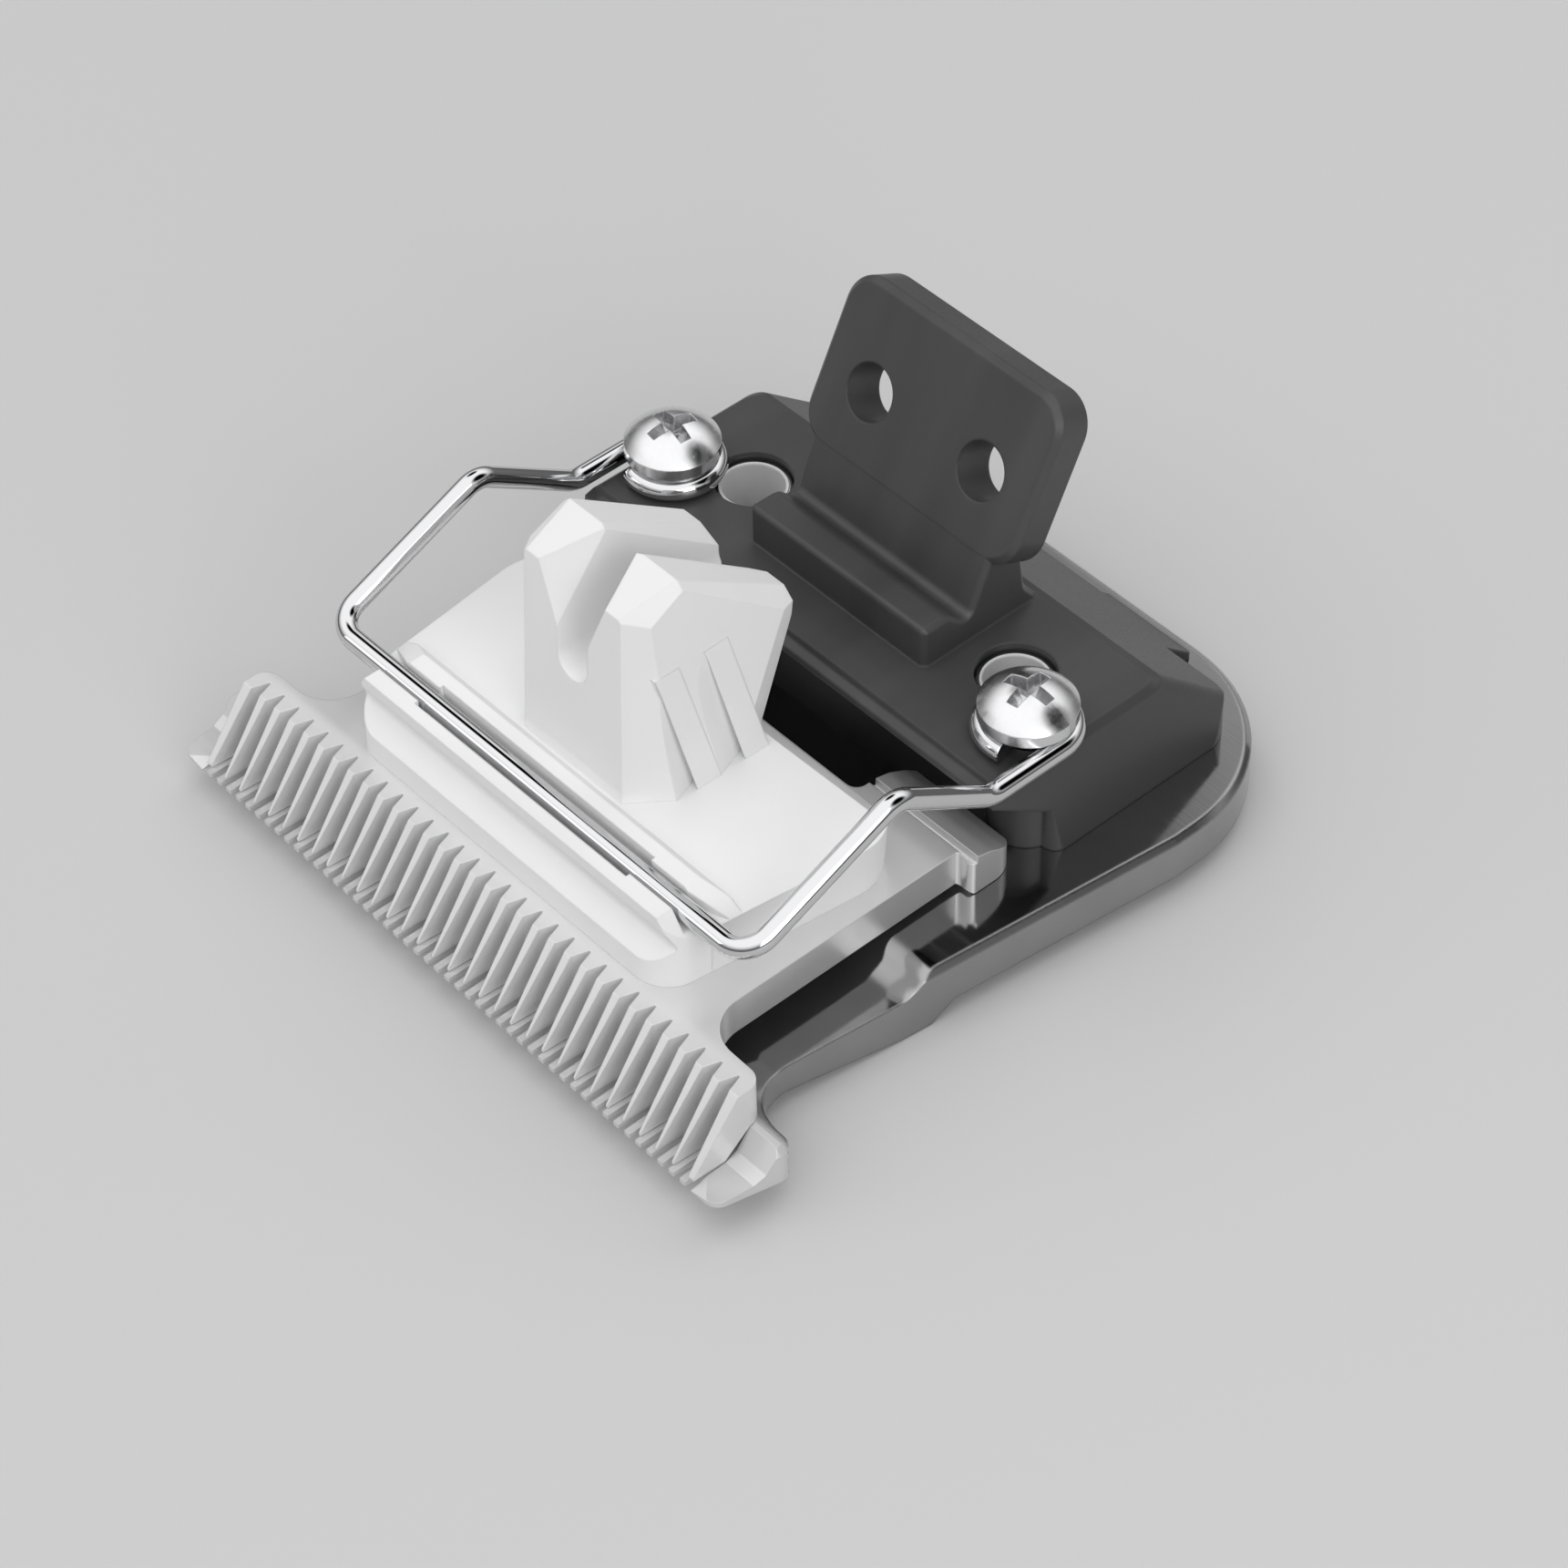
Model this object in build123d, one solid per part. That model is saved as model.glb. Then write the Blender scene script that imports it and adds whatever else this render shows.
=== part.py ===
"""Hair clipper blade set: a toothed comb plate, a cutter that slides across it with its drive fork,
a bent wire tension spring, two screws and a holder with a leaning hinge tab.
Millimetres. X runs along the tooth row, Y from the tooth tips to the back, Z up. The pieces are drawn
with Y counted from the tip line; the origin of the finished part is under the middle of the comb plate,
on the plane of its lowest underside."""

import os
from math import asin, cos, degrees, radians, sin

from build123d import *

# Clearances
RUN = 0.06  # cutter over comb
FREE = 0.3  # cutter group past the holder
WIRE_FREE = 0.1  # spring bar in the fork base groove
FIT = 0.1  # screws and collars in their holes

# Teeth
CUT_TEETH = 32
CUT_PITCH = 1.245
CUT_GAP_TIP = 1.08
CUT_GAP = 0.74
CUT_ROOT_Y = 4.2
COMB_TEETH = 47
COMB_PITCH = CUT_PITCH * 2 / 3
COMB_GAP_TIP = 0.47
COMB_GAP_ROOT = 0.3
COMB_ROOT_Y = 4.2

# Comb plate across
GUARD_W = 2.36  # plain end guard beside the last gap
TIP_TAPER = 0.65  # guards narrower at the tip line, each side
EAR = 5.1  # row wider than the neck, each side
BACK_FLARE = 3.2  # back wider than the neck, each side
GUARD_IN = COMB_TEETH / 2 * COMB_PITCH + COMB_GAP_TIP / 2
COMB_W = 2 * (GUARD_IN + GUARD_W)
TIP_W = COMB_W - 2 * TIP_TAPER
NECK_W = COMB_W - 2 * EAR
BACK_W = NECK_W + 2 * BACK_FLARE
BACK_R = 9.6

# Comb plate in profile
COMB_T = 2.75
STEP = 1.0  # height of the joggle
STEP_RUN = 1.45
BEND_R = 2.0
TIP_LIFT = 2.0  # underside of the tips above the rest plane
TIP_T = 0.3
SHELF_Y = 2.75  # end of the flat behind the tips
SHELF_HEEL = 0.3  # first part of the rise to the ridge
RIDGE_Y = 3.95
LAND = 0.35
SCOOP = 3.9  # length of the hollow behind the ridge
ROW_Y = 4.9  # back of the tooth row
EDGE = 0.35

# Cutter
CUT_T = 2.6
CUT_SIDE = 0.17  # end teeth trimmed, each side
CUT_EAR = 4.85
CUT_TIP_Y = 0.3
CUT_TIP_T = 0.15
BEVEL_Y = 3.25
CUT_RELIEF = 0.35
RAIL_Y = 22.45
RAIL_L = 3.5
RAIL_EAR = 0.95
NICK = 0.45
NOTCH_W = 16.4
NOTCH_LEAD = 0.95  # notch floor in front of the rail
STEP_LEAD = 6.55  # joggle in front of the rail
CUT_W = CUT_TEETH * CUT_PITCH - 2 * CUT_SIDE
CUT_NECK_W = CUT_W - 2 * CUT_EAR
RAIL_W = CUT_NECK_W + 2 * RAIL_EAR
NOTCH_Y = RAIL_Y - NOTCH_LEAD
STEP_Y = RAIL_Y - STEP_LEAD

# Fork base
BASE_INSET = 0.3  # inside the cutter's neck, each side
BASE_FLARE = 1.9  # front narrower than the back, each side
BASE_LEAD = 0.15  # front edge before the back of the tooth row
BASE_TAIL = 1.5  # back edge before the notch floor
BASE_DRAFT = 0.4  # how far the foot stands in from the top edge
BASE_CROWN = 0.6  # fall of the top to its side edges
BASE_H = 4.0
BASE_R = 3.0  # back corners
BACK_SLOPE = 1.7
NOSE_R = 2.2  # front corners
LIP_H = 0.75
LIP_SIDE = 1.2  # lip shorter than the band, each side
BAND_H = 1.6
LEDGE_L = 1.2
RIB_L = 1.55
RELIEF = 0.25
RELIEF_W = 16.6
BASE_BACK_W = CUT_NECK_W - 2 * BASE_INSET
BASE_W = BASE_BACK_W - 2 * BASE_FLARE
BASE_Y = ROW_Y - BASE_LEAD
BASE_BACK = NOTCH_Y - BASE_TAIL
BASE_L = BASE_BACK - BASE_Y

# Spring
WIRE = 1.2
WIRE_SIDES = 10
BAR_IN = 2.27  # spring bar behind the front of the fork base
LEG_GAP = 0.95  # legs clear of the fork base
EYE_R = 2.4
ARCH_BACK = 3.1  # arch top before the back of the fork base
ARCH_H = 4.2
KNEE_R = 2.0
ARCH_R = 1.5
BAR_R = 1.6
KNEE_LEAD = 0.5  # knee before the holder
SPRING_W = BASE_BACK_W + 2 * LEG_GAP + WIRE
SPRING_Y = BASE_Y + BAR_IN
ARCH_Y = BASE_BACK - ARCH_BACK

# Fork
SLOT_W = 2.3
SLOT_DEPTH = 7.2
FORK_H = 13.0
FORK_IN = 2.58  # behind the spring bar
FORK_FRONT_W = 7.6
FORK_W = 8.9
FORK_FOOT_W = 11.2
FORK_PEAK = 4.0  # highest edge behind the front
FORK_TAIL = 0.7  # top's back edge past the back of the fork base
FORK_BACK_DROP = 4.95
PRONG_IN = 2.55  # flat on the back edge of each prong
PRONG_W = 1.27
PRONG_H = 1.7  # upright back end of each prong
FORK_LEAN = 2.8  # foot's back edge before the prongs'
FORK_RAKE = 0.65  # front edge of the top behind the foot's
RIB_UP = 0.63  # share of the fork's height
RIB_W = 1.6
RIB_LEAN = 1.9
RIB_IN = 3.5  # front rib behind the fork's front
RIB_STEP = 3.2
FLUTE = 0.8  # depth of the hollows before the ribs
CROWN = 0.4
FORK_Y = SPRING_Y + FORK_IN
FORK_PEAK_Y = FORK_Y + FORK_PEAK
FORK_BACK_Y = BASE_BACK + FORK_TAIL

# Screws
HEAD_D = 5.3
HEAD_H = 2.1
SHANK_D = 2.5
CROSS_W = 0.8
POST_LEAD = 0.7  # screw behind the front of the holder's post
SCREW_X = SPRING_W / 2 - EYE_R

# Holder
HOLD_H = 6.4
HOLD_EDGE = 2.05  # deck edge outside the screws
HOLD_SPREAD = 0.85  # foot wider than the deck, each side
HOLD_OVER = 1.35  # front edge behind the front of the rail
BOSS_T = 0.7  # wall round the screws
POST_R = 0.9
HOLD_TOP_L = 12.3
HOLD_L = 19.1
HOLD_SKIRT = 0.6
CORNER_L = 1.6  # back corners short of the back slope's end
CORNER_R = 2.4
RIDGE_R = 0.95
LOBE_IN = 4.6
LOBE_OUT = 11.0
LOBE_L = 0.5
HOLE_D = 4.4
HOLE_IN = 3.55  # inside the screws
HOLE_BACK = 2.6  # behind the screws
COLLAR_T = 0.35
FOOT_H = 2.5
FOOT_W = 13.5
FOOT_EDGE = 0.25
FOOT_TOP_L = 1.8
VALLEY = 1.2  # depth of the hollow between foot and tab
VALLEY_L = 1.35
VALLEY_R = 0.5
FOOT_FLARE = 1.2  # foot's back edge behind the tab
HOLD_W = 2 * (SCREW_X + HOLD_EDGE)
HOLD_FOOT_W = HOLD_W + 2 * HOLD_SPREAD
HOLD_Y = RAIL_Y + HOLD_OVER
BOSS_R = SHANK_D / 2 + FIT + BOSS_T
SCREW_Y = RAIL_Y + RAIL_L + FREE + BOSS_R
POST_Y = SCREW_Y - POST_LEAD
HOLE_X = SCREW_X - HOLE_IN
HOLE_Y = SCREW_Y + HOLE_BACK
KNEE_Y = HOLD_Y - KNEE_LEAD
FOOT_Y = POST_Y
BACK_LEDGE = 1.3  # comb plate behind the holder
COMB_L = HOLD_Y + HOLD_L + BACK_LEDGE

# Hinge tab
TAB_W = 16.0
TAB_L = 9.95
TAB_T = 2.6
TAB_LEAN = 26.5  # from upright, towards the back
TAB_R = 2.0
TAB_HOLE_D = 3.2
TAB_HOLE_X = 4.2
TAB_HOLE_UP = 4.25  # hole centres above the plate's lower edge
TAB_BACK = 6.3  # hole centres behind the front of the foot
TAB_RISE = 8.15  # hole centres above the deck

# Levels
FLOOR = COMB_T
TABLE = COMB_T + STEP
SHELF = TIP_LIFT + TIP_T
CUT_TOP = TABLE + RUN + CUT_T
BASE_TOP = CUT_TOP + BASE_H
HOLD_TOP = TABLE + HOLD_H
SPRING_Z = BASE_TOP + LIP_H - WIRE / 2 + 0.1
EYE_Z = HOLD_TOP + WIRE / 2


def rounded(points):
    """Face through (a, b) points; a third value is that corner's radius."""
    face = make_face(Polyline(*[p[:2] for p in points], close=True))
    for a, b, r in [p for p in points if len(p) == 3]:
        face = fillet(face.vertices().sort_by_distance((a, b))[0], r)
    return face


def outline(corners):
    """Plan face mirrored about X = 0 from the right half's points, front to back."""
    return rounded(corners + [(-p[0], *p[1:]) for p in reversed(corners)])


def side_profile(points, width):
    """Solid from (y, z) points, centred across X."""
    return extrude(Plane.YZ * rounded(points), width / 2, both=True)


def front_profile(points, length):
    """Solid from the (x, z) points of its right half, run along Y from zero."""
    return extrude(Plane.XZ * outline(points), -length)


def pair(shape):
    return Part() + [shape, mirror(shape, Plane.YZ)]


def drilled(x, y, r, z0, z1):
    """A mirrored pair of upright cylinders."""
    return pair(Pos(x, y, (z0 + z1) / 2) * Cylinder(r, z1 - z0))


def beyond(a, b, c, inside):
    """Block on the far side of the plane through three points, seen from a point inside."""
    a, b, c = Vector(a), Vector(b), Vector(c)
    n = (b - a).cross(c - a)
    if n.dot(Vector(inside) - a) > 0:
        n = n * -1
    return Plane(origin=a, x_dir=b - a, z_dir=n) * Pos(0, 0, 10) * Box(60, 60, 20)


def gaps(count, pitch, points):
    """Upright cutters of one gap shape, count gaps at the pitch, centred on X = 0."""
    cutter = extrude(outline(points), CUT_TOP + 1)
    return [Pos((i - (count - 1) / 2) * pitch, 0, 0) * cutter for i in range(count)]


def comb():
    plan = outline([
        (TIP_W / 2, 0, 0.8),
        (COMB_W / 2, ROW_Y, EAR * 0.18),
        (NECK_W / 2, ROW_Y + 0.1, EAR * 0.66),
        (BACK_W / 2, COMB_L * 0.75),
        (BACK_W / 2, COMB_L, BACK_R),
    ])
    under = STEP_Y + 2 * STEP_RUN
    body = side_profile([
        (0, TIP_LIFT),
        (STEP_Y - 0.4, 0),
        (under - STEP_RUN, 0),
        (under, STEP),
        (COMB_L, STEP),
        (COMB_L, TABLE),
        (STEP_Y + STEP_RUN, TABLE, BEND_R),
        (STEP_Y, FLOOR, BEND_R),
        (RIDGE_Y + SCOOP, FLOOR, 2.2),
        (RIDGE_Y + SCOOP * 0.45, FLOOR + STEP * 0.35, 1.6),
        (RIDGE_Y + LAND, TABLE),
        (RIDGE_Y, TABLE),
        (SHELF_Y + SHELF_HEEL, SHELF + SHELF_HEEL),
        (SHELF_Y - SHELF_HEEL * 1.5, SHELF),
        (0, SHELF),
    ], COMB_W + 2)
    slab = extrude(plan, TABLE)
    body &= chamfer(slab.faces().sort_by(Axis.Z)[-1].edges(), EDGE)
    collar = drilled(HOLE_X, HOLE_Y, HOLE_D / 2 - FIT, TABLE - 0.5, HOLD_TOP - 0.45)
    body = body + collar - drilled(HOLE_X, HOLE_Y, HOLE_D / 2 - FIT - COLLAR_T, -1, HOLD_TOP)
    body -= drilled(SCREW_X, SCREW_Y, SHANK_D / 2 + FIT / 2, -1, HOLD_TOP)
    body -= gaps(COMB_TEETH + 1, COMB_PITCH, [
        (COMB_GAP_TIP / 2, -1),
        (COMB_GAP_ROOT / 2, COMB_ROOT_Y),
    ])
    return body - pair(guard_facet())


def guard_facet():
    """Bevel across the inner front corner of a guard."""
    facet = beyond(
        (GUARD_IN, 1.05, SHELF),
        (GUARD_IN + 1.15, 0, SHELF),
        (GUARD_IN, 0, SHELF - TIP_T * 0.8),
        (GUARD_IN + 1, 1, TIP_LIFT),
    )
    return facet & Pos(GUARD_IN + 0.6, 0.3, SHELF) * Box(1.6, 2, 2)


def cutter():
    plan = outline([
        (CUT_W / 2 - 0.15, CUT_TIP_Y),
        (CUT_W / 2, ROW_Y, CUT_EAR * 0.2),
        (CUT_NECK_W / 2, ROW_Y + 0.1, CUT_EAR * 0.5),
        (CUT_NECK_W / 2, RAIL_Y, 0.3),
        (RAIL_W / 2, RAIL_Y, 0.4),
        (RAIL_W / 2, RAIL_Y + RAIL_L, RAIL_L * 0.5),
    ])
    low = TABLE + RUN
    tip = SHELF + RUN
    back = RAIL_Y + RAIL_L
    body = side_profile([
        (CUT_TIP_Y, tip),
        (SHELF_Y - SHELF_HEEL * 1.5, tip),
        (RIDGE_Y, low),
        (ROW_Y + 0.3, low),
        (ROW_Y + 0.7, low + CUT_RELIEF),
        (RAIL_Y - 0.2, low + CUT_RELIEF),
        (RAIL_Y + 0.2, low),
        (back, low),
        (back, CUT_TOP - CUT_T * 0.6, 0.6),
        (back - RAIL_L * 0.3, CUT_TOP - CUT_T * 0.3, 2.0),
        (back - RAIL_L * 0.6, CUT_TOP - CUT_T * 0.09, 2.0),
        (RAIL_Y + NICK, CUT_TOP),
        (RAIL_Y + NICK * 0.9, CUT_TOP - NICK),
        (RAIL_Y + NICK * 0.1, CUT_TOP - NICK),
        (RAIL_Y, CUT_TOP),
        (BEVEL_Y, CUT_TOP),
        (CUT_TIP_Y, tip + CUT_TIP_T),
    ], CUT_W + 2)
    cut = gaps(CUT_TEETH - 1, CUT_PITCH, [
        (CUT_GAP_TIP / 2 + 0.06, -0.4),
        (CUT_GAP / 2, BEVEL_Y),
        (0.07, CUT_ROOT_Y),
    ])
    notch = outline([(NOTCH_W / 2, NOTCH_Y, 0.7), (NOTCH_W / 2, back + 1)])
    return (extrude(plan, CUT_TOP + 1) & body) - cut - extrude(notch, CUT_TOP + 1)


def nose(floor, lip_in, deep):
    """Front of the fork base: a band with rounded corners under a slanted ledge and an overhanging lip."""
    top = BASE_TOP + LIP_H
    half = BASE_W / 2 - BASE_DRAFT
    flare = BASE_FLARE / BASE_L * (deep - BASE_Y)
    body = side_profile([
        (BASE_Y, CUT_TOP),
        (BASE_Y, CUT_TOP + BAND_H),
        (BASE_Y + LEDGE_L, CUT_TOP + BAND_H + LEDGE_L * 0.9, 0.3),
        (BASE_Y + LEDGE_L * 0.5, top - LIP_H),
        (BASE_Y + LEDGE_L * 0.45, top),
        (lip_in, top),
        (lip_in, floor),
        (deep, floor),
        (deep, CUT_TOP),
    ], BASE_W + 2)
    body &= extrude(outline([(half, BASE_Y, NOSE_R), (half + flare, deep)]), top)
    return body & front_profile([
        (half + flare, CUT_TOP),
        (half + flare, top - LIP_SIDE * 1.4),
        (half + flare - LIP_SIDE, top),
    ], deep)


def fork_base():
    half, wide, back = BASE_W / 2, BASE_BACK_W / 2, BASE_BACK
    lip_in = SPRING_Y - WIRE / 2 - WIRE_FREE
    rib_in = SPRING_Y + WIRE / 2 + WIRE_FREE
    top = BASE_TOP + LIP_H
    floor = SPRING_Z - WIRE / 2 - WIRE_FREE
    over = 2 * wide + 2
    body = nose(floor, lip_in, rib_in + 0.1)
    start = half + BASE_FLARE * (rib_in - BASE_Y) / BASE_L
    main = side_profile([(rib_in, CUT_TOP), (back, CUT_TOP), (back, BASE_TOP), (rib_in, BASE_TOP)], over)
    main -= pair(beyond(
        (start - BASE_DRAFT, rib_in, CUT_TOP),
        (wide - BASE_DRAFT, back, CUT_TOP),
        (wide, back, BASE_TOP),
        (0, rib_in, CUT_TOP),
    ))
    corners = main.edges().filter_by(lambda e: e.center().Y > back - 0.1 and e.bounding_box().size.Z > 1)
    main = fillet(corners, BASE_R)
    main &= side_profile([
        (back, CUT_TOP),
        (back, BASE_TOP - BACK_SLOPE * 1.1),
        (back - BACK_SLOPE, BASE_TOP),
        (rib_in, BASE_TOP),
        (rib_in, CUT_TOP),
    ], over)
    main &= front_profile([(wide, CUT_TOP), (wide, BASE_TOP - BASE_CROWN), (FORK_FOOT_W / 2, BASE_TOP)], 40)
    rib = extrude(outline([
        (half - 1.7, rib_in),
        (start + 0.05, rib_in + 0.95, 0.2),
        (start + 0.1, rib_in + 3),
    ]), top)
    low = BASE_TOP - BASE_CROWN
    rib &= side_profile([
        (rib_in, low - 0.1),
        (rib_in, top),
        (rib_in + RIB_L * 0.65, top),
        (rib_in + RIB_L * 1.1, BASE_TOP - 0.05),
        (rib_in + RIB_L * 1.1, low - 0.1),
    ], over)
    rib &= front_profile([(wide, floor - 1), (half + 0.6, low), (half - 1.9, top)], 40)
    relief = side_profile([
        (lip_in - RELIEF, floor),
        (rib_in + RELIEF, floor),
        (rib_in + RELIEF, top + 1),
        (lip_in - RELIEF, top + 1),
    ], RELIEF_W)
    return body + main + rib - relief


def fork():
    top = BASE_TOP + FORK_H
    foot, half = BASE_TOP - 0.2, FORK_FOOT_W / 2
    front, back, low = FORK_Y + FORK_RAKE, FORK_BACK_Y, top - FORK_BACK_DROP
    body = side_profile([
        (FORK_Y, foot),
        (front, top - 0.95),
        (FORK_PEAK_Y, top),
        (back, low),
        (back, low - PRONG_H),
        (back - FORK_LEAN, foot),
    ], FORK_FOOT_W + 2)
    body &= front_profile([(half, foot), (FORK_W / 2, top)], 60)
    inside = (0, FORK_PEAK_Y, foot + 1)
    body -= pair(beyond(
        (FORK_FRONT_W / 2, FORK_Y, foot),
        (half, FORK_Y + 2.3, foot),
        (FORK_W / 2, front + 1.1, top),
        inside,
    ))
    body -= pair(beyond(
        (half, back - FORK_LEAN - 2.2, foot),
        (half - 0.9, back - FORK_LEAN, foot),
        (FORK_W / 2 + 0.15, back - 0.6, low - PRONG_H),
        inside,
    ))
    body += side_ribs()
    body -= flutes()
    floor = top - SLOT_DEPTH + SLOT_W / 2
    body -= Pos(0, FORK_PEAK_Y, floor) * Rot(90, 0, 0) * Cylinder(SLOT_W / 2, 30)
    body -= Pos(0, FORK_PEAK_Y, floor + 10) * Box(SLOT_W, 30, 20)
    x_in, x_top = SLOT_W / 2, FORK_W / 2
    peak = (x_top - CROWN, FORK_PEAK_Y, top)
    brow = (x_top, FORK_PEAK_Y, top - CROWN)
    facets = [
        ((x_in, front, top - 4.2), (x_in, FORK_PEAK_Y, top), (2.6, front, top - 0.8)),
        (peak, (PRONG_IN + PRONG_W, back, low), brow),
        ((x_in + CROWN, FORK_PEAK_Y, top), (PRONG_IN, back, low), (x_in, FORK_PEAK_Y, top - CROWN / 2)),
        (peak, (FORK_FRONT_W / 2 - 0.3, front, top - 0.95), brow),
    ]
    prong = Pos(5, FORK_PEAK_Y, top) * Box(10, 30, 2 * SLOT_DEPTH)
    for a, b, c in facets:
        body -= pair(beyond(a, b, c, (x_top / 2, FORK_PEAK_Y + 2, low)) & prong)
    return body


def side_ribs():
    """Two leaning ribs on each flank of the fork, level with it in front and proud of its back corner."""
    up = FORK_H * RIB_UP
    out = FORK_FOOT_W / 2
    flank = front_profile([
        (out + 0.05, BASE_TOP - 0.1),
        (out - (FORK_FOOT_W - FORK_W) / 2 * RIB_UP + 0.05, BASE_TOP + up),
    ], 40)
    ribs = Part()
    for y in (FORK_Y + RIB_IN, FORK_Y + RIB_IN + RIB_STEP):
        ribs += side_profile([
            (y, BASE_TOP - 0.1),
            (y + RIB_W, BASE_TOP - 0.1),
            (y + RIB_W - RIB_LEAN, BASE_TOP + up),
            (y - RIB_LEAN, BASE_TOP + up),
        ], 20)
    return ribs & flank


def flutes():
    """Leaning hollows before the ribs, each deepest under its rib's front edge, running out at the top."""
    out = FORK_FOOT_W / 2
    head = out - (FORK_FOOT_W - FORK_W) / 2 * RIB_UP + 0.1
    cut = Part()
    for end in (FORK_Y + RIB_IN, FORK_Y + RIB_IN + RIB_STEP):
        foot = Pos(out, end, BASE_TOP) * flute_section(FLUTE)
        run_out = Pos(head, end - RIB_LEAN, BASE_TOP + FORK_H * RIB_UP) * flute_section(FLUTE / 10)
        cut += loft([foot, run_out], ruled=True)
    return pair(cut)


def flute_section(deep):
    """Level section of a hollow: a slant to its deepest point, undercut there, open to the outside."""
    wide = RIB_STEP - RIB_W
    return make_face(Polyline((0, -wide), (-deep, deep), (0, 0), (1, -wide / 2), close=True))


def eye():
    """Open ring of wire round the right screw, as a path that ends in the leg."""
    def at(angle):
        return (SCREW_X + EYE_R * cos(radians(angle)), SCREW_Y + EYE_R * sin(radians(angle)), EYE_Z)
    return ThreePointArc(at(285), at(142), at(0))


def spring():
    """Right half of the wire, piece by piece from its eye to the middle of the bar, and its mirror."""
    x = SPRING_W / 2
    leg = FilletPolyline(
        (x, SCREW_Y, EYE_Z),
        (x, KNEE_Y, EYE_Z),
        (x, ARCH_Y, EYE_Z + ARCH_H),
        (x, SPRING_Y, SPRING_Z),
        (0, SPRING_Y, SPRING_Z),
        radius=(KNEE_R, ARCH_R, BAR_R),
    )
    half = Part()
    for edge in [*eye().edges(), *leg.edges()]:
        bent = edge.geom_type == GeomType.CIRCLE
        if bent:
            spin = (edge @ 0 - edge.arc_center).cross(edge % 0)
        ring = Plane(origin=edge @ 0, x_dir=spin, z_dir=edge % 0) * RegularPolygon(WIRE / 2, WIRE_SIDES)
        if bent:
            half += revolve(ring, Axis(edge.arc_center, spin), degrees(edge.length / edge.radius))
        else:
            half += extrude(ring, edge.length)
    return pair(half)


def screw():
    """Domed head with a cross recess on a plain shank."""
    seat = HOLD_TOP + WIRE
    r, rim, top = HEAD_D / 2, seat + HEAD_H * 0.45, seat + HEAD_H
    rise = top - rim
    ball = (r * r + rise * rise) / (2 * rise)
    half = asin(r / ball) / 2
    side = Polyline((0, top), (0, STEP), (SHANK_D / 2, STEP), (SHANK_D / 2, seat),
                    (r - 0.25, seat), (r, seat + 0.25), (r, rim))
    dome = ThreePointArc((r, rim), (ball * sin(half), top - ball * (1 - cos(half))), (0, top))
    body = revolve(Plane.XZ * make_face([*side.edges(), *dome.edges()]), Axis.Z)
    wing = Pos(0, 0, top) * extrude(Rectangle(HEAD_D * 0.54, CROSS_W), -HEAD_H * 0.55, taper=10)
    return Pos(SCREW_X, SCREW_Y, 0) * Rot(0, 0, 8) * (body - wing - Rot(0, 0, 90) * wing)


def holder():
    top_back, end = HOLD_Y + HOLD_TOP_L, HOLD_Y + HOLD_L
    steep = (HOLD_H - HOLD_SKIRT) / (HOLD_L - HOLD_TOP_L)
    far = end + LOBE_L + 1
    under = CUT_TOP + FREE
    block = side_profile([
        (POST_Y, TABLE),
        (far, TABLE),
        (far, HOLD_TOP - steep * (far - top_back)),
        (top_back, HOLD_TOP),
        (HOLD_Y + 0.65, HOLD_TOP),
        (HOLD_Y + 0.55, HOLD_TOP - 0.35),
        (HOLD_Y, HOLD_TOP - 0.55),
        (HOLD_Y, HOLD_TOP - 0.95),
        (POST_Y, under),
    ], HOLD_FOOT_W + 2)
    block &= front_profile([(HOLD_FOOT_W / 2, TABLE), (HOLD_W / 2, HOLD_TOP)], 60)
    ridges = [e for e in block.edges() if is_ridge(e, top_back)]
    block = fillet(ridges, RIDGE_R)
    rim = [e for e in block.edges().group_by(Axis.Z)[-1] if e.center().Y > HOLD_Y + 1]
    block = chamfer(rim, EDGE)
    corner = HOLD_FOOT_W / 2
    back = [
        (corner, end - CORNER_L, CORNER_R),
        (LOBE_OUT, end - CORNER_L),
        (LOBE_OUT, end + LOBE_L, 0.4),
        (LOBE_IN, end + LOBE_L),
        (LOBE_IN, end),
    ]
    plan = extrude(outline([(corner, HOLD_Y), *back]), HOLD_TOP + 1)
    post = extrude(outline([(corner, POST_Y, POST_R), *back]), under)
    block &= (plan - Pos(0, 0, under / 2) * Box(100, 200, under)) + post
    block += drilled(SCREW_X, SCREW_Y, BOSS_R, TABLE, HOLD_TOP - 1)
    block += tab()
    block -= drilled(HOLE_X, HOLE_Y, HOLE_D / 2, 0, HOLD_TOP + 1.5)
    return block - drilled(SCREW_X, SCREW_Y, SHANK_D / 2 + FIT, 0, HOLD_TOP + 1)


def is_ridge(edge, top_back):
    """Edges between the flanks and the back slope."""
    c = edge.center()
    return c.Y > top_back + 0.5 and edge.bounding_box().size.Z > 1 and edge.bounding_box().size.Y > 1


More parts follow.
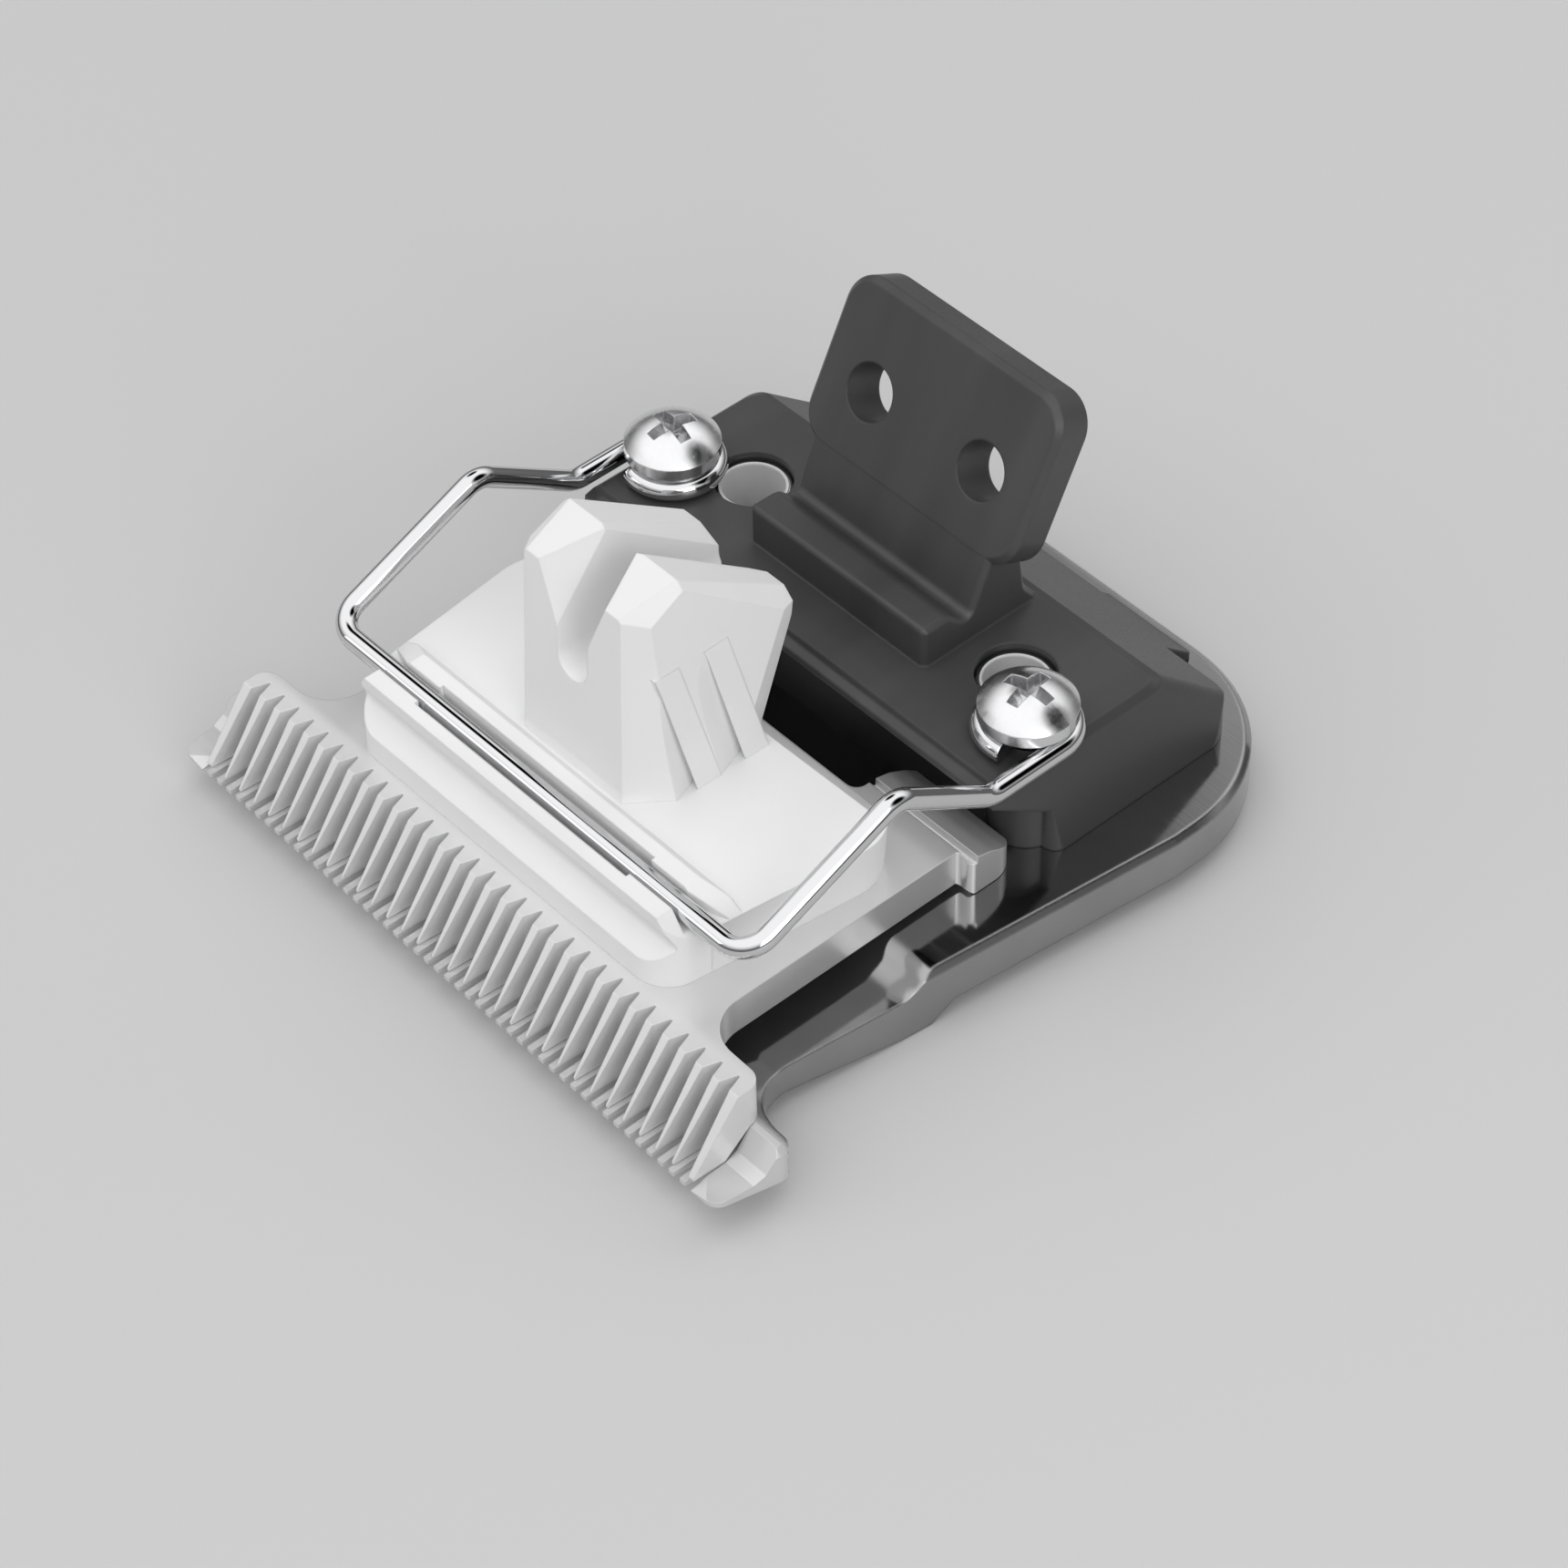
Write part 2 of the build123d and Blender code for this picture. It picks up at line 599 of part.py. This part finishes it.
def tab():
    lean = radians(TAB_LEAN)
    up, out = Vector(0, sin(lean), cos(lean)), Vector(0, -cos(lean), sin(lean))
    mid = Vector(0, FOOT_Y + TAB_BACK, HOLD_TOP + TAB_RISE)
    front = Plane(origin=mid, x_dir=(1, 0, 0), z_dir=out)
    plate = Pos(0, TAB_L / 2 - TAB_HOLE_UP, 0) * RectangleRounded(TAB_W, TAB_L, TAB_R)
    holes = Sketch() + [Pos(s * TAB_HOLE_X, 0, 0) * Circle(TAB_HOLE_D / 2) for s in (-1, 1)]
    solid = extrude(front * plate, -TAB_T)
    solid = chamfer(solid.faces().sort_by(Axis.Y)[0].edges(), EDGE)
    low = mid - up * (TAB_HOLE_UP - 0.6)
    rear = low - out * TAB_T
    foot_top = HOLD_TOP + FOOT_H
    foot = side_profile([
        (FOOT_Y, HOLD_TOP - 0.5),
        (FOOT_Y, foot_top, 0.3),
        (FOOT_Y + FOOT_TOP_L, foot_top, 0.8),
        (FOOT_Y + FOOT_TOP_L + VALLEY_L, foot_top - VALLEY, VALLEY_R),
        (low.Y, low.Z),
        (rear.Y, rear.Z),
        (rear.Y + 0.3, HOLD_TOP + FOOT_FLARE, FOOT_FLARE),
        (rear.Y + FOOT_FLARE, HOLD_TOP),
        (rear.Y + FOOT_FLARE, HOLD_TOP - 0.5),
    ], FOOT_W)
    ends = foot.faces().sort_by(Axis.X)
    solid += chamfer([*ends[0].edges(), *ends[-1].edges()], FOOT_EDGE)
    return solid - extrude(front * holes, -TAB_T - 1) - extrude(front * holes, 1)


def place(shape):
    """Origin from the tip line to below the middle of the comb plate."""
    return Pos(0, -COMB_L / 2, 0) * shape


os.makedirs("parts", exist_ok=True)
export_step(place(comb()), "parts/fixed_blade.step")
export_step(place(cutter()), "parts/moving_blade.step")
export_step(place(fork_base() + fork()), "parts/drive_fork.step")
export_step(place(spring()), "parts/tension_spring.step")
export_step(place(screw()), "parts/screw_right.step")
export_step(place(mirror(screw(), Plane.YZ)), "parts/screw_left.step")
export_step(place(holder()), "parts/holder.step")
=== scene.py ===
import math

import bpy
import numpy as np
from mathutils import Matrix, Vector


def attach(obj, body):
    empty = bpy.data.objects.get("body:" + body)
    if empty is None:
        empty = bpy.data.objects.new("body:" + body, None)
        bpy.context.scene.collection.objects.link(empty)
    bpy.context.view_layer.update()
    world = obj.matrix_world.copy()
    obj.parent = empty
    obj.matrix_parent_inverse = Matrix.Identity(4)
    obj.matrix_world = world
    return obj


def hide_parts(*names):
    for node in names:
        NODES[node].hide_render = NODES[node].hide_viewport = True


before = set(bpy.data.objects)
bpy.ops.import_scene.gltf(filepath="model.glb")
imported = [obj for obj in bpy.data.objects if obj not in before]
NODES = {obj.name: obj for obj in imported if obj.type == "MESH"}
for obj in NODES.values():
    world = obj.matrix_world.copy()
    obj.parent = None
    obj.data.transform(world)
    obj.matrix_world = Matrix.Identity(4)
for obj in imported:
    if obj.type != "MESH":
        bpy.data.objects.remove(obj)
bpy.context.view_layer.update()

MM = 0.001
scene = bpy.context.scene

# Finishes, millimetres
ROW_Y, ROW_BLEND = -17.8, 0.8  # back of the tooth rows, where the finish changes
COLLAR_X, COLLAR_Y, COLLAR_R = 10.2, 8.8, 1.9  # raised collars of the comb plate
BUMP_DEPTH = 0.02  # full height of a finish's fine bump

# Spring wire, millimetres
WIRE_R = 0.6
EYE_X, EYE_Y, EYE_Z, EYE_R = 13.75, 6.2, 10.75, 2.4  # round the right screw
EYE_TURN = 285  # degrees of the open ring
LEG_X = EYE_X + EYE_R
KNEE_Y = 1.2
ARCH_Y, ARCH_Z = -5.2, 14.95
BAR_Y, BAR_Z = -15.08, 10.66
BENDS = (2.0, 1.5, 1.6)  # bend radii at the knee, the arch and the bar

# Stage, metres
MIDDLE = Vector((0, 0, 0.008))  # where the lamps are aimed
FLOOR_SIZE, FLOOR_Z = 4.0, -0.0001
DOME_START, DOME_FULL = 0.12, 0.75  # heights on a unit sky where the dome begins and is full
# A dark flag is a direction, and the angles from it, in degrees, where it is black and where it ends
PLATE_FLAG = ((-0.53, 0.32, 0.78), 8, 18)  # mirrored by the plate
WALL_FLAG = ((0.53, 0.46, 0.71), 12, 28)  # mirrored by the plate and then by the cutter's side wall

# Camera fitted to the photograph, degrees and millimetres
PHOTO_PX, FOCAL_PX = 1721, 5292
AZIMUTH, ELEVATION, ROLL = 49.0, 45.35, -1.24
TIP_LINE = Vector((0, -22.1, 2.35))  # middle of the line of tooth tips
CAMERA_RIGHT, CAMERA_UP, CAMERA_BACK = 17.72, 9.32, 245.4  # from there, along the camera's own axes
SENSOR = 36.0


# Node helpers
class Nodes:
    """A node tree with short calls for adding nodes and feeding their inputs."""

    def __init__(self, tree):
        self.tree = tree

    def add(self, kind, **values):
        node = self.tree.nodes.new(kind)
        for key, value in values.items():
            setattr(node, key, value)
        return node

    def feed(self, value, node, into):
        """Input set to a plain value, or linked to a socket or to a node's first output."""
        if isinstance(value, bpy.types.Node):
            value = value.outputs[0]
        if isinstance(value, bpy.types.NodeSocket):
            self.tree.links.new(value, node.inputs[into])
        else:
            node.inputs[into].default_value = value

    def fill(self, node, **values):
        """Inputs of a node fed by name, with an underscore for each space in a name."""
        for key, value in values.items():
            self.feed(value, node, key.replace("_", " "))
        return node

    def math(self, operation, *values):
        node = self.add("ShaderNodeMath", operation=operation)
        for i, value in enumerate(values):
            self.feed(value, node, i)
        return node

    def ranged(self, source, low, high, start=0.3, end=0.7, smooth=False):
        """Value that goes from low to high as the source goes from start to end."""
        node = self.add("ShaderNodeMapRange", interpolation_type="SMOOTHSTEP" if smooth else "LINEAR")
        return self.fill(node, Value=source, From_Min=start, From_Max=end, To_Min=low, To_Max=high)

    def mixed(self, share, a, b):
        """Value that goes from a to b as the share goes from zero to one."""
        return self.fill(self.add("ShaderNodeMix", data_type="FLOAT"), Factor=share, A=a, B=b)


class Finish(Nodes):
    """A material on Object coordinates, with the textures and masks that the finishes share."""

    def __init__(self, name):
        self.mat = bpy.data.materials.new(name)
        self.mat.use_nodes = True
        super().__init__(self.mat.node_tree)
        self.tree.nodes.clear()
        self.bsdf = self.add("ShaderNodeBsdfPrincipled")
        self.feed(self.bsdf, self.add("ShaderNodeOutputMaterial"), "Surface")
        self.place = self.add("ShaderNodeTexCoord").outputs["Object"]

    def put(self, **values):
        """Inputs of the shader itself."""
        self.fill(self.bsdf, **values)

    def noise(self, scale, detail=3.0):
        """Cloudy texture with its own frequency, per metre, along each axis."""
        stretch = self.fill(self.add("ShaderNodeMapping"), Vector=self.place, Scale=scale)
        node = self.add("ShaderNodeTexNoise")
        return self.fill(node, Vector=stretch, Scale=1.0, Detail=detail, Roughness=0.55)

    def axis(self, name):
        return self.fill(self.add("ShaderNodeSeparateXYZ"), Vector=self.place).outputs[name]

    def before(self, y, blend):
        """One in front of the line Y = y, zero from a short blend behind it."""
        return self.ranged(self.axis("Y"), 1.0, 0.0, y, y + blend, smooth=True)

    def round_pair(self, x, y, r):
        """One inside two upright cylinders of radius r at plus and minus x, zero outside."""
        across = self.math("SUBTRACT", self.math("ABSOLUTE", self.axis("X")), x)
        along = self.math("SUBTRACT", self.axis("Y"), y)
        squares = [self.math("MULTIPLY", side, side) for side in (across, along)]
        return self.math("LESS_THAN", self.math("ADD", *squares), r * r)

    def soft_edges(self, radius, grain, strength):
        """Normals rounded over the edges by the radius, with a fine bump on top."""
        bevel = self.fill(self.add("ShaderNodeBevel", samples=6), Radius=radius)
        bump = self.add("ShaderNodeBump")
        self.fill(bump, Height=grain, Strength=strength, Distance=BUMP_DEPTH * MM, Normal=bevel)
        self.put(Normal=bump)


# Finishes
def comb_steel():
    """Polished plate; the ground tooth row and the bores of the two collars are satin, and the bores also
    carry a pale painted light on their shaded walls.
    """
    m = Finish("comb_steel")
    grain = m.noise((250, 9000, 9000))
    cloud = m.noise((200, 200, 200))
    row = m.before(ROW_Y * MM, ROW_BLEND * MM)
    satin_bore_painted_light = m.round_pair(COLLAR_X * MM, COLLAR_Y * MM, COLLAR_R * MM)
    tone = m.mixed(row, m.ranged(cloud, 0.35, 0.39), m.ranged(cloud, 0.66, 0.70))
    rough = m.mixed(row, m.ranged(grain, 0.07, 0.13), m.ranged(grain, 0.30, 0.40))
    metal = m.mixed(row, 1.0, 0.4)
    m.put(
        # The bores' pale base colour of 0.8 is painted light that lifts their shaded walls; their roughness
        # and metallic are the real satin finish.
        Base_Color=m.mixed(satin_bore_painted_light, tone, 0.8),
        Roughness=m.mixed(satin_bore_painted_light, rough, 0.5),
        Metallic=m.mixed(satin_bore_painted_light, metal, 0.25),
    )
    m.soft_edges(m.mixed(row, 0.25 * MM, 0.05 * MM), grain, 0.03)
    return m.mat


def cutter_steel():
    """Satin steel; the ground faces of the teeth scatter more light than the body."""
    m = Finish("cutter_steel")
    grain = m.noise((300, 12000, 12000))
    cloud = m.noise((200, 200, 200))
    row = m.before(ROW_Y * MM, ROW_BLEND * MM)
    m.put(
        Base_Color=m.mixed(row, m.ranged(cloud, 0.78, 0.82), m.ranged(cloud, 0.76, 0.80)),
        Roughness=m.ranged(grain, 0.32, 0.34),
        Metallic=m.mixed(row, 0.65, 0.3),
    )
    m.soft_edges(m.mixed(row, 0.10 * MM, 0.07 * MM), grain, 0.02)
    return m.mat


def white_plastic():
    """White moulding with a faint sheen."""
    m = Finish("white_plastic")
    cloud = m.noise((150, 150, 150))
    m.put(Base_Color=m.ranged(cloud, 0.85, 0.87), Roughness=0.48, Specular_IOR_Level=0.4)
    m.soft_edges(0.15 * MM, m.noise((9000, 9000, 9000), detail=2.0), 0.06)
    return m.mat


def dark_plastic():
    """Dark moulding, finely textured, with soft upright streaks of painted sheen in its colour."""
    m = Finish("dark_plastic")
    grain = m.noise((7000, 7000, 7000))
    painted_sheen = m.noise((260, 30, 30))
    # The upright streak noise paints sheen bands into the base colour, a painted reflection.
    m.put(Base_Color=m.ranged(painted_sheen, 0.042, 0.060), Roughness=m.ranged(grain, 0.36, 0.46))
    m.soft_edges(0.22 * MM, grain, 0.12)
    return m.mat


def spring_wire():
    """Bright drawn wire."""
    m = Finish("spring_wire")
    grain = m.noise((900, 900, 900))
    m.put(Base_Color=(0.68, 0.68, 0.69, 1), Metallic=1.0, Roughness=m.ranged(grain, 0.05, 0.09))
    return m.mat


def screw_metal():
    """Plated screw heads."""
    m = Finish("screw_metal")
    grain = m.noise((2500, 2500, 2500))
    m.put(Base_Color=(0.76, 0.76, 0.77, 1), Metallic=1.0, Roughness=m.ranged(grain, 0.18, 0.28))
    m.soft_edges(0.10 * MM, grain, 0.02)
    return m.mat


def floor_grey():
    """Plain pale floor."""
    m = Finish("floor")
    m.put(Base_Color=(0.60, 0.60, 0.60, 1), Roughness=0.7)
    return m.mat


def dress(mat, *names):
    for name in names:
        mesh = NODES[name].data
        mesh.materials.clear()
        mesh.materials.append(mat)


dress(screw_metal(), "screw_left", "screw_right")
dress(comb_steel(), "fixed_blade")
dress(cutter_steel(), "moving_blade")
dress(white_plastic(), "drive_fork")
dress(dark_plastic(), "holder")


def add_object(name, data):
    obj = bpy.data.objects.new(name, data)
    scene.collection.objects.link(obj)
    return obj


# Spring wire
def unit(v):
    return v / np.linalg.norm(v, axis=-1, keepdims=True)


def corner_arc(before, corner, after, radius, count=14):
    """Arc of the radius that touches both runs at a corner: its centre lies on their bisector."""
    u, v = unit(before - corner), unit(after - corner)
    half = math.acos(u @ v) / 2
    centre = corner + unit(u + v) * radius / math.sin(half)
    first = corner + u * radius / math.tan(half) - centre
    last = corner + v * radius / math.tan(half) - centre
    sweep = math.pi - 2 * half
    t = np.linspace(0, 1, count)[:, None]
    return centre + (np.sin((1 - t) * sweep) * first + np.sin(t * sweep) * last) / math.sin(sweep)


def wire_line():
    """Line and normals: an eye round the screw, runs joined by corner arcs to the bar, and their mirror.

    The normal is up round the eye, lies in the leg's own plane along the leg, and stays the last leg's
    on the bar.
    """
    turn = np.radians(np.linspace(EYE_TURN, 0, 56))
    eye = np.stack([EYE_X + EYE_R * np.cos(turn), EYE_Y + EYE_R * np.sin(turn), 0 * turn + EYE_Z], 1)
    runs = np.array([
        (LEG_X, EYE_Y, EYE_Z),
        (LEG_X, KNEE_Y, EYE_Z),
        (LEG_X, ARCH_Y, ARCH_Z),
        (LEG_X, BAR_Y, BAR_Z),
        (0, BAR_Y, BAR_Z),
    ])
    arcs = [corner_arc(*runs[i:i + 3], radius) for i, radius in enumerate(BENDS)]
    half = np.concatenate([eye, *arcs])
    level = np.cross(np.gradient(half, axis=0), (1, 0, 0))
    level[:len(eye)] = (0, 0, 1)
    level[-len(arcs[-1]):] = np.cross(runs[3] - runs[2], (1, 0, 0))
    line = np.concatenate([half, half[::-1] * (-1, 1, 1)])
    return line, np.concatenate([level, level[::-1]])


def tube(name, line, level, radius, sides=28):
    """Surface c + r (cos t n + sin t b) about a line c, with n square to the line and b to both."""
    along = unit(np.gradient(line, axis=0))
    level = unit(level - along * np.sum(level * along, axis=1, keepdims=True))
    beside = np.cross(along, level)
    t = np.linspace(0, 2 * math.pi, sides, endpoint=False)[None, :, None]
    rings = line[:, None] + radius * (np.cos(t) * level[:, None] + np.sin(t) * beside[:, None])
    first = np.arange(len(line) - 1)[:, None] * sides
    a, b = first + np.arange(sides), first + (np.arange(sides) + 1) % sides
    faces = np.stack([a, b, b + sides, a + sides], -1).reshape(-1, 4).tolist()
    last = (len(line) - 1) * sides
    ends = [list(range(sides))[::-1], list(range(last, last + sides))]
    mesh = bpy.data.meshes.new(name)
    mesh.from_pydata(rings.reshape(-1, 3) * MM, [], faces + ends)
    mesh.polygons.foreach_set("use_smooth", [True] * len(faces) + [False] * len(ends))
    return add_object(name, mesh)


wire = tube("spring_wire_tube", *wire_line(), WIRE_R)
wire.data.materials.append(spring_wire())
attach(wire, "stock")
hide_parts("tension_spring")


# Stage
def floor_plane(size, z):
    """Flat square z = constant over x and y, each from minus to plus half the size."""
    half = size / 2
    corners = [(-half, -half, z), (half, -half, z), (half, half, z), (-half, half, z)]
    mesh = bpy.data.meshes.new("floor")
    mesh.from_pydata(corners, [], [(0, 1, 2, 3)])
    mesh.materials.append(floor_grey())
    add_object("floor", mesh)


def softbox(name, place, size, radiance):
    """Square lamp aimed at the middle of the object, with its power worked out from its radiance."""
    light = bpy.data.lights.new(name, "AREA")
    light.size = size
    light.energy = radiance * math.pi * size ** 2
    turn = (MIDDLE - Vector(place)).to_track_quat("-Z", "Y").to_matrix().to_4x4()
    add_object(name, light).matrix_world = Matrix.Translation(place) @ turn


def studio_world(horizon, dome, flags):
    """Bright dome over a dim horizon, times a factor per flag that falls to zero as a direction nears it."""
    world = bpy.data.worlds.new("studio")
    world.use_nodes = True
    sky = Nodes(world.node_tree)
    direction = sky.add("ShaderNodeTexCoord").outputs["Generated"]

    def lobe(axis, start, end, low, high):
        """Value from low to high as the cosine of the angle to the axis goes from start to end."""
        near = sky.add("ShaderNodeVectorMath", operation="DOT_PRODUCT")
        sky.feed(direction, near, 0)
        sky.feed(Vector(axis).normalized(), near, 1)
        return sky.ranged(near.outputs["Value"], low, high, start, end, smooth=True)

    light = lobe((0, 0, 1), DOME_START, DOME_FULL, horizon, dome)
    for flag, black, end in flags:
        shade = lobe(flag, math.cos(math.radians(end)), math.cos(math.radians(black)), 1.0, 0.0)
        light = sky.math("MULTIPLY", light, shade)
    sky.fill(world.node_tree.nodes["Background"], Strength=light, Color=(1, 1, 1, 1))
    scene.world = world


def fitted_camera():
    """Camera turned by the azimuth, tilted by the elevation and rolled, set off from the tips' middle."""
    az, el, roll = map(math.radians, (AZIMUTH, ELEVATION, ROLL))
    back = Vector((math.sin(az) * math.cos(el), -math.cos(az) * math.cos(el), math.sin(el)))
    flat_right = Vector((math.cos(az), math.sin(az), 0))
    flat_up = back.cross(flat_right)
    right = flat_right * math.cos(roll) + flat_up * math.sin(roll)
    up = flat_up * math.cos(roll) - flat_right * math.sin(roll)
    place = (TIP_LINE + right * CAMERA_RIGHT + up * CAMERA_UP + back * CAMERA_BACK) * MM
    lens = bpy.data.cameras.new("camera")
    lens.sensor_width = SENSOR
    lens.lens = SENSOR * FOCAL_PX / PHOTO_PX
    lens.clip_start = 0.01
    camera = add_object("camera", lens)
    camera.matrix_world = Matrix.Translation(place) @ Matrix((right, up, back)).transposed().to_4x4()
    scene.camera = camera


floor_plane(FLOOR_SIZE, FLOOR_Z)
softbox("front_left", place=(-0.24, -0.36, 0.16), size=0.16, radiance=1.0)
softbox("right", place=(0.44, -0.13, 0.24), size=0.30, radiance=2.3)
studio_world(horizon=0.15, dome=1.29, flags=(PLATE_FLAG, WALL_FLAG))
fitted_camera()
scene.view_settings.view_transform = "Standard"
